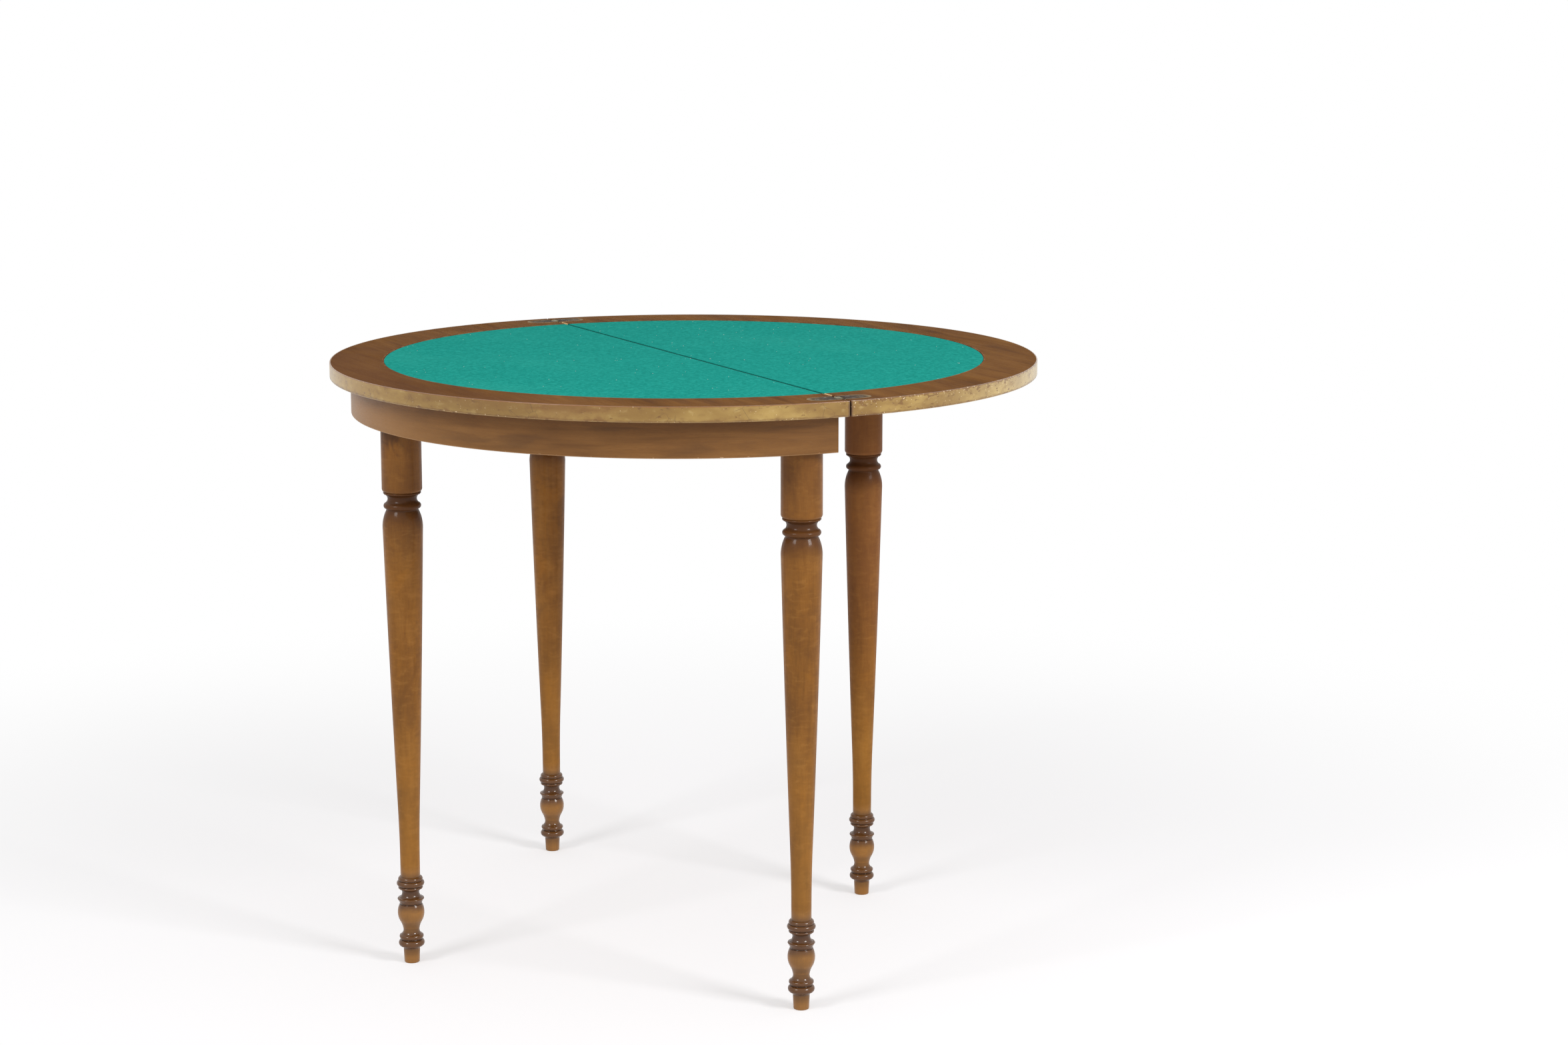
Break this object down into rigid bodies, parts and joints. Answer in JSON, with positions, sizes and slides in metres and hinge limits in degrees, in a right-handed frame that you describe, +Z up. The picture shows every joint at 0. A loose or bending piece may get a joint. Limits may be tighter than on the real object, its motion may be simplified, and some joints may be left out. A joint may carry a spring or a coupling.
{
  "type": "folding games table",
  "caption": "Half-moon games table, standing open: a round folding top with a baize playing surface, a bowed apron, turned legs and a pull-out leg that carries the folding half.",
  "frame": {"origin": "on the floor, under the centre of the open round top, which is the middle of the joint", "axes": "+Z up; X along the joint of the top; the fixed half, its frame and three legs on -Y, the folding half and the pull-out leg on +Y"},
  "size_m": [0.9, 0.8998, 0.75],
  "materials": {
    "core_wood": "plain secondary wood, unpolished",
    "border_veneer": "brown veneer, worn wax polish",
    "painted_band": "worn tan paint over brown wood, matt",
    "baize": "green baize, napped",
    "hinge_brass": "tarnished brass",
    "link_brass": "rubbed brass",
    "pin_steel": "bright steel wire",
    "screw_brass": "tarnished brass",
    "apron_veneer": "brown veneer, satin",
    "frame_wood": "plain secondary wood, oiled",
    "leg_wood": "honey-brown turned wood, toned recesses, satin",
    "slide_wood": "plain secondary wood, waxed on the running faces",
    "screw_steel": "dull steel"
  },
  "bodies": {
    "frame": {"fixed_top": "core_wood", "fixed_border": "border_veneer", "fixed_edge_band": "painted_band", "fixed_baize": "baize", "fixed_hinge_leaves": "hinge_brass", "fixed_hinge_pins": "pin_steel", "fixed_hinge_screws": "screw_brass", "bow_apron": "apron_veneer", "back_rail_left": "frame_wood", "back_rail_right": "frame_wood", "corner_block_left": "frame_wood", "corner_block_right": "frame_wood", "front_block": "frame_wood", "glue_blocks": "frame_wood", "leg_front": "leg_wood", "leg_left": "leg_wood", "leg_right": "leg_wood", "guide_left": "slide_wood", "guide_right": "slide_wood", "slide_stops": "slide_wood", "top_screws": "screw_steel"},
    "links": {"hinge_links": "link_brass"},
    "flap": {"flap_top": "core_wood", "flap_veneer": "border_veneer", "flap_border": "border_veneer", "flap_edge_band": "painted_band", "flap_baize": "baize", "flap_hinge_leaves": "hinge_brass", "flap_hinge_pins": "pin_steel", "flap_hinge_screws": "screw_brass"},
    "pull_out_leg": {"slide_front": "slide_wood", "slide_arm_left": "slide_wood", "slide_arm_right": "slide_wood", "slide_tie": "slide_wood", "slide_leg_block": "slide_wood", "leg_slide": "leg_wood"}
  },
  "joints": [
    {"name": "link_fold", "type": "hinge", "parent": "frame", "child": "links", "pos_m": [0, -0.003, 0.7475], "axis": [1, 0, 0], "range_deg": [0, 90]},
    {"name": "flap_fold", "type": "hinge", "parent": "links", "child": "flap", "pos_m": [0, 0.003, 0.7475], "axis": [1, 0, 0], "range_deg": [0, 90]},
    {"name": "leg_slide_in", "type": "slide", "parent": "frame", "child": "pull_out_leg", "axis": [0, -1, 0], "range_m": [0, 0.291]}
  ]
}
